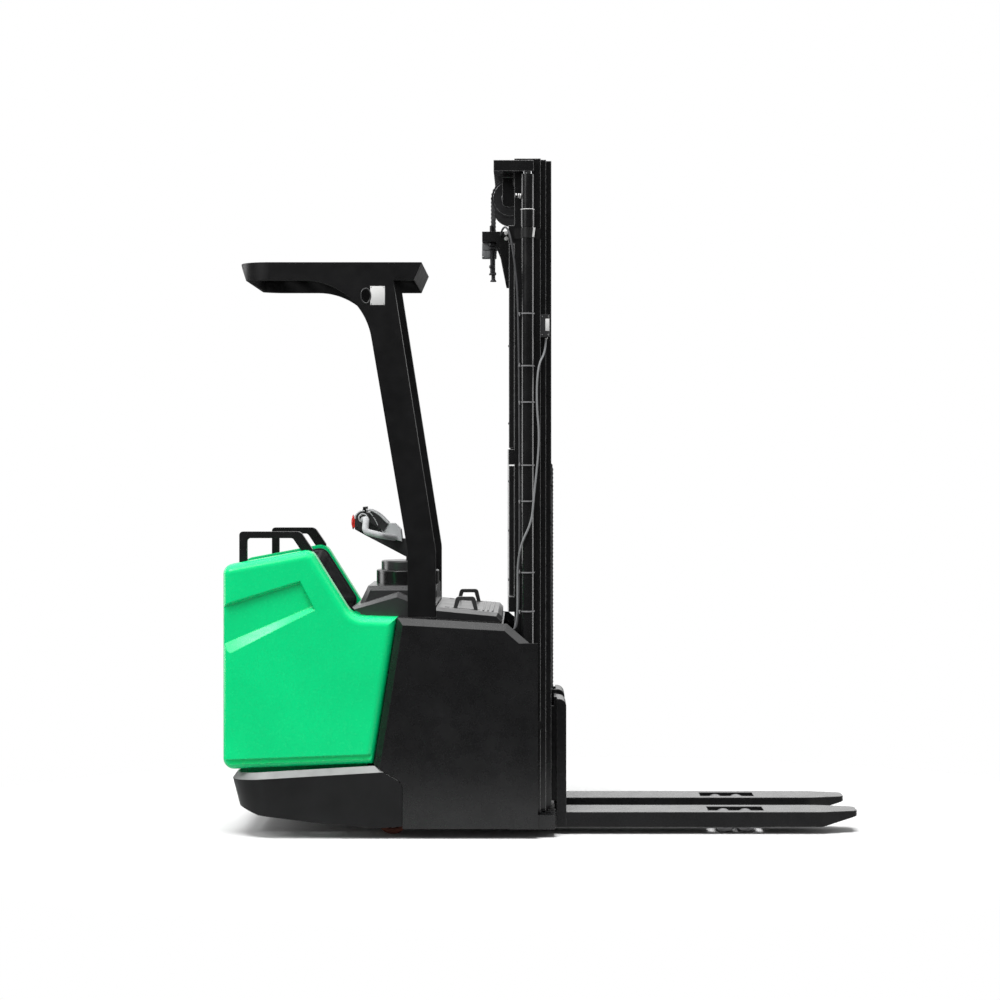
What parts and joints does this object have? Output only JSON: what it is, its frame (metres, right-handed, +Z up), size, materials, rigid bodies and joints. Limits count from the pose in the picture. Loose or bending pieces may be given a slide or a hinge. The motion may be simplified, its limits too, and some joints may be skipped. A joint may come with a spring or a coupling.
{
  "type": "ride-on electric stacker",
  "caption": "Ride-on battery stacker: fork-over legs, triplex mast with chains and sheaves, overhead guard, padded side covers, steering tiller and rear platform.",
  "frame": {"origin": "middle of the bounding box in plan, on the floor under the wheels", "axes": "+X from the platform towards the fork tips, +Y to the left-hand side of an operator facing the forks, +Z up"},
  "size_m": [2.499, 0.8, 2.663],
  "materials": {
    "black_frame": "satin black paint",
    "mast_black": "semi-gloss black paint",
    "green_moulding": "mint green, fine satin grain",
    "black_moulding": "fine black grain",
    "pad_vinyl": "black vinyl",
    "grip_grey": "light grey",
    "red_button": "glossy red",
    "bright_steel": "machined",
    "chain_steel": "oiled",
    "hard_chrome": "ground and plated",
    "cast_grey": "painted casting",
    "wheel_tread": "reddish brown polyurethane",
    "drive_tread": "black polyurethane",
    "mat_rubber": "ribbed black rubber",
    "clear_screen": "clear polycarbonate",
    "pale_cable": "pale grey sheath",
    "finned_alloy": "as cast",
    "battery_case": "plain case",
    "tie_black": "nylon"
  },
  "bodies": {
    "chassis": {"chassis_frame": "black_frame", "support_legs": "black_frame", "side_panels": "black_frame", "rear_bumper": "black_frame", "platform_floor": "black_frame", "cover_right": "green_moulding", "cover_left": "green_moulding", "side_pads": "pad_vinyl", "grab_handles": "black_moulding", "overhead_guard": "black_frame", "console": "black_moulding", "turret_base": "black_moulding", "battery_pack": "battery_case", "pump_unit": "cast_grey", "motor_controller": "finned_alloy", "outer_mast": "mast_black", "lift_cylinders": "mast_black", "cylinder_bands": "tie_black", "chain_anchors": "mast_black", "mast_sensors": "black_moulding", "mast_cables": "pale_cable", "mast_screen": "clear_screen", "main_chain_rear": "chain_steel"},
    "middle_mast": {"middle_mast": "mast_black", "lift_rods": "hard_chrome", "main_chain_front": "chain_steel"},
    "inner_mast": {"inner_mast": "mast_black", "free_lift_cylinder": "mast_black", "free_chain_rear": "chain_steel"},
    "free_lift_rod": {"free_lift_rod": "hard_chrome", "free_chain_front": "chain_steel"},
    "carriage": {"carriage": "black_frame", "forks": "black_frame"},
    "battery_cover": {"battery_cover": "black_moulding", "cover_handles": "black_moulding"},
    "tiller": {"tiller_arm": "black_moulding", "tiller_grips": "grip_grey"},
    "middle_rollers": {"middle_mast_rollers": "bright_steel"},
    "inner_rollers": {"inner_mast_rollers": "bright_steel"},
    "caster_right": {"caster_fork_right": "mast_black"},
    "caster_left": {"caster_fork_left": "mast_black"},
    "main_sheaves": {"main_sheaves": "bright_steel"},
    "free_lift_sheaves": {"free_lift_sheaves": "bright_steel"},
    "carriage_rollers_lower": {"carriage_rollers_lower": "bright_steel"},
    "carriage_rollers_upper": {"carriage_rollers_upper": "bright_steel"},
    "drive_unit": {"drive_unit": "cast_grey"},
    "drive_wheel": {"drive_wheel": "drive_tread"},
    "thumb_control": {"thumb_control": "black_moulding"},
    "belly_button": {"belly_button": "black_moulding"},
    "emergency_stop": {"emergency_stop": "red_button"},
    "key_switch": {"key_switch": "bright_steel"},
    "floor_mat": {"floor_mat": "mat_rubber"},
    "caster_wheel_right": {"caster_wheel_right": "wheel_tread"},
    "caster_wheel_left": {"caster_wheel_left": "wheel_tread"},
    "bogie_right": {"bogie_right": "mast_black"},
    "bogie_left": {"bogie_left": "mast_black"},
    "load_roller_right_rear": {"load_roller_right_rear": "wheel_tread"},
    "load_roller_right_front": {"load_roller_right_front": "wheel_tread"},
    "load_roller_left_rear": {"load_roller_left_rear": "wheel_tread"},
    "load_roller_left_front": {"load_roller_left_front": "wheel_tread"}
  },
  "joints": [
    {"name": "main_lift", "type": "slide", "parent": "chassis", "child": "middle_mast", "axis": [0, 0, 1], "range_m": [0, 1.85], "deforming": ["main_chain_rear"]},
    {"name": "inner_lift", "type": "slide", "parent": "middle_mast", "child": "inner_mast", "axis": [0, 0, 1], "range_m": [0, 1.85], "deforming": ["main_chain_front"]},
    {"name": "free_lift", "type": "slide", "parent": "inner_mast", "child": "carriage", "axis": [0, 0, 1], "range_m": [0, 1.6]},
    {"name": "free_rod_lift", "type": "slide", "parent": "inner_mast", "child": "free_lift_rod", "axis": [0, 0, 1], "range_m": [0, 0.8], "deforming": ["free_chain_rear", "free_chain_front"]},
    {"name": "main_sheave_turn", "type": "hinge", "parent": "middle_mast", "child": "main_sheaves", "pos_m": [-0.1245, 0, 2.523], "axis": [0, -1, 0], "range_deg": [0, 1420]},
    {"name": "free_sheave_turn", "type": "hinge", "parent": "free_lift_rod", "child": "free_lift_sheaves", "pos_m": [-0.009, 0, 1.44], "axis": [0, -1, 0], "range_deg": [0, 912]},
    {"name": "middle_roller_turn", "type": "hinge", "parent": "middle_mast", "child": "middle_rollers", "pos_m": [-0.0583, 0, 0.15], "axis": [0, -1, 0], "range_deg": [0, 2700]},
    {"name": "inner_roller_turn", "type": "hinge", "parent": "inner_mast", "child": "inner_rollers", "pos_m": [-0.0368, 0, 0.15], "axis": [0, -1, 0], "range_deg": [0, 2700]},
    {"name": "carriage_lower_roller_turn", "type": "hinge", "parent": "carriage", "child": "carriage_rollers_lower", "pos_m": [-0.0153, 0, 0.165], "axis": [0, -1, 0], "range_deg": [0, 2335]},
    {"name": "carriage_upper_roller_turn", "type": "hinge", "parent": "carriage", "child": "carriage_rollers_upper", "pos_m": [-0.0153, 0, 0.45], "axis": [0, 1, 0], "range_deg": [0, 2335]},
    {"name": "steer", "type": "hinge", "parent": "chassis", "child": "drive_unit", "pos_m": [-0.545, 0, 0.345], "axis": [0, 0, 1], "range_deg": [-80, 80]},
    {"name": "tiller_turn", "type": "hinge", "parent": "chassis", "child": "tiller", "pos_m": [-0.545, 0, 1.034], "axis": [0, 0, 1], "range_deg": [-80, 80]},
    {"name": "drive_wheel_turn", "type": "hinge", "parent": "drive_unit", "child": "drive_wheel", "pos_m": [-0.545, 0, 0.115], "axis": [0, 1, 0], "continuous": true},
    {"name": "caster_swivel_right", "type": "hinge", "parent": "chassis", "child": "caster_right", "pos_m": [-0.55, -0.25, 0.2], "axis": [0, 0, 1], "continuous": true},
    {"name": "caster_swivel_left", "type": "hinge", "parent": "chassis", "child": "caster_left", "pos_m": [-0.55, 0.25, 0.2], "axis": [0, 0, 1], "continuous": true},
    {"name": "caster_wheel_turn_right", "type": "hinge", "parent": "caster_right", "child": "caster_wheel_right", "pos_m": [-0.59, -0.25, 0.062], "axis": [0, 1, 0], "continuous": true},
    {"name": "caster_wheel_turn_left", "type": "hinge", "parent": "caster_left", "child": "caster_wheel_left", "pos_m": [-0.59, 0.25, 0.062], "axis": [0, 1, 0], "continuous": true},
    {"name": "bogie_rock_right", "type": "hinge", "parent": "chassis", "child": "bogie_right", "pos_m": [0.769, -0.1925, 0.042], "axis": [0, 1, 0], "range_deg": [-8, 8]},
    {"name": "bogie_rock_left", "type": "hinge", "parent": "chassis", "child": "bogie_left", "pos_m": [0.769, 0.1925, 0.042], "axis": [0, 1, 0], "range_deg": [-8, 8]},
    {"name": "load_roller_turn_right_rear", "type": "hinge", "parent": "bogie_right", "child": "load_roller_right_rear", "pos_m": [0.72525, -0.1925, 0.042], "axis": [0, 1, 0], "continuous": true},
    {"name": "load_roller_turn_right_front", "type": "hinge", "parent": "bogie_right", "child": "load_roller_right_front", "pos_m": [0.81275, -0.1925, 0.042], "axis": [0, 1, 0], "continuous": true},
    {"name": "load_roller_turn_left_rear", "type": "hinge", "parent": "bogie_left", "child": "load_roller_left_rear", "pos_m": [0.72525, 0.1925, 0.042], "axis": [0, 1, 0], "continuous": true},
    {"name": "load_roller_turn_left_front", "type": "hinge", "parent": "bogie_left", "child": "load_roller_left_front", "pos_m": [0.81275, 0.1925, 0.042], "axis": [0, 1, 0], "continuous": true},
    {"name": "thumb_tilt", "type": "hinge", "parent": "tiller", "child": "thumb_control", "pos_m": [-0.718, 0, 1.272], "axis": [0, 1, 0], "range_deg": [-25, 25], "stiffness_Nm_per_rad": 0.4},
    {"name": "belly_push", "type": "slide", "parent": "tiller", "child": "belly_button", "axis": [1, 0, 0], "range_m": [0, 0.008], "stiffness_N_per_m": 900, "springref_m": -0.004},
    {"name": "stop_push", "type": "slide", "parent": "chassis", "child": "emergency_stop", "axis": [0, 0, -1], "range_m": [0, 0.005]},
    {"name": "key_turn", "type": "hinge", "parent": "chassis", "child": "key_switch", "pos_m": [-0.47, -0.14, 0.95], "axis": [0, 0, 1], "range_deg": [0, 90]},
    {"name": "mat_press", "type": "slide", "parent": "chassis", "child": "floor_mat", "axis": [0, 0, -1], "range_m": [0, 0.004], "stiffness_N_per_m": 60000, "springref_m": -0.002},
    {"name": "lid_lift", "type": "slide", "parent": "chassis", "child": "battery_cover", "axis": [0, 0, 1], "range_m": [0, 0.18]}
  ],
  "couplings": [
    {"joint": "inner_lift", "follows": "main_lift", "ratio": 1},
    {"joint": "free_rod_lift", "follows": "free_lift", "ratio": 0.5},
    {"joint": "main_sheave_turn", "follows": "main_lift", "rad_per_m": 13.351},
    {"joint": "free_sheave_turn", "follows": "free_lift", "rad_per_m": 9.921},
    {"joint": "middle_roller_turn", "follows": "main_lift", "rad_per_m": 25.445},
    {"joint": "inner_roller_turn", "follows": "main_lift", "rad_per_m": 25.445},
    {"joint": "carriage_lower_roller_turn", "follows": "free_lift", "rad_per_m": 25.445},
    {"joint": "carriage_upper_roller_turn", "follows": "free_lift", "rad_per_m": 25.445},
    {"joint": "tiller_turn", "follows": "steer", "ratio": 1}
  ]
}
